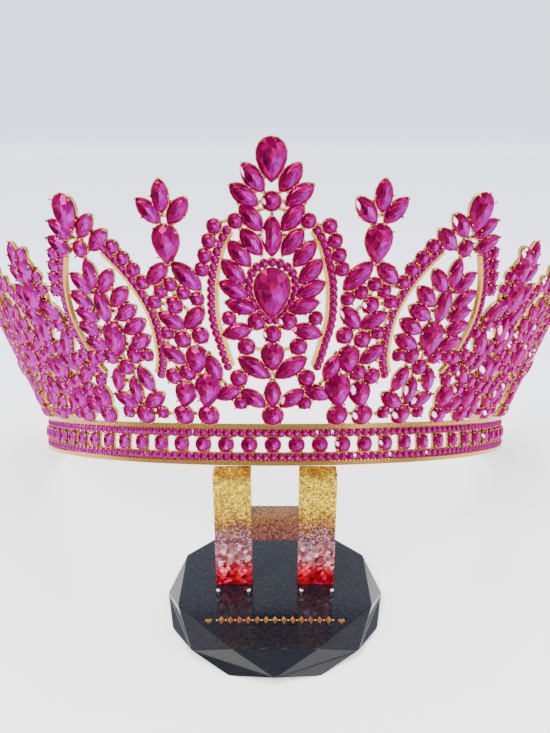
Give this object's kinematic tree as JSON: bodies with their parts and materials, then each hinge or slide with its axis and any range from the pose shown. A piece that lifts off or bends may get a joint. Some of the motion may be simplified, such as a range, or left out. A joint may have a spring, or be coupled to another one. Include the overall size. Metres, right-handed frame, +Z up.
{
  "type": "pageant crown on a display stand",
  "caption": "Open-backed gilt crown of fuchsia stones set as palmettes and blooms, leaning on a small H-shaped riser on an octagonal base.",
  "frame": {"origin": "centre of the stand's foot, on the table", "axes": "+X to the right as seen from the front, +Y away from the viewer, +Z up"},
  "size_m": [0.2164, 0.1457, 0.135],
  "materials": {
    "black_acrylic": "polished black acrylic",
    "glitter_resin": "clear resin with layers of pink, white, mauve and gold glitter",
    "stud_metal": "polished",
    "gold_plate": "polished pale gold plate",
    "fuchsia_glass": "foil-backed faceted glass"
  },
  "bodies": {
    "root": {"stand_base": "black_acrylic", "stand_riser": "glitter_resin", "stud_left_outer": "stud_metal", "stud_left_inner": "stud_metal", "stud_right_inner": "stud_metal", "stud_right_outer": "stud_metal", "frame": "gold_plate", "band_stones": "fuchsia_glass", "crest_leaves": "fuchsia_glass", "crest_rounds": "fuchsia_glass", "front_heart": "fuchsia_glass", "front_pear": "fuchsia_glass", "front_bud": "fuchsia_glass", "front_spear": "fuchsia_glass", "front_spear_right": "fuchsia_glass", "front_spear_left": "fuchsia_glass", "front_drop": "fuchsia_glass", "bloom1_right_pear": "fuchsia_glass", "bloom1_right_low_pear": "fuchsia_glass", "bloom1_right_spear": "fuchsia_glass", "bloom1_right_outer_drop": "fuchsia_glass", "bloom1_right_inner_drop": "fuchsia_glass", "side1_right_pear": "fuchsia_glass", "side1_right_middle": "fuchsia_glass", "side1_right_spear": "fuchsia_glass", "side1_right_drop": "fuchsia_glass", "bloom2_right_pear": "fuchsia_glass", "bloom2_right_low_pear": "fuchsia_glass", "bloom2_right_spear": "fuchsia_glass", "side2_right_pear": "fuchsia_glass", "side2_right_middle": "fuchsia_glass", "side2_right_spear": "fuchsia_glass", "bloom3_right_pear": "fuchsia_glass", "bloom1_left_pear": "fuchsia_glass", "bloom1_left_low_pear": "fuchsia_glass", "bloom1_left_spear": "fuchsia_glass", "bloom1_left_outer_drop": "fuchsia_glass", "bloom1_left_inner_drop": "fuchsia_glass", "side1_left_pear": "fuchsia_glass", "side1_left_middle": "fuchsia_glass", "side1_left_spear": "fuchsia_glass", "side1_left_drop": "fuchsia_glass", "bloom2_left_pear": "fuchsia_glass", "bloom2_left_low_pear": "fuchsia_glass", "bloom2_left_spear": "fuchsia_glass", "side2_left_pear": "fuchsia_glass", "side2_left_middle": "fuchsia_glass", "side2_left_spear": "fuchsia_glass", "bloom3_left_pear": "fuchsia_glass"}
  },
  "joints": []
}
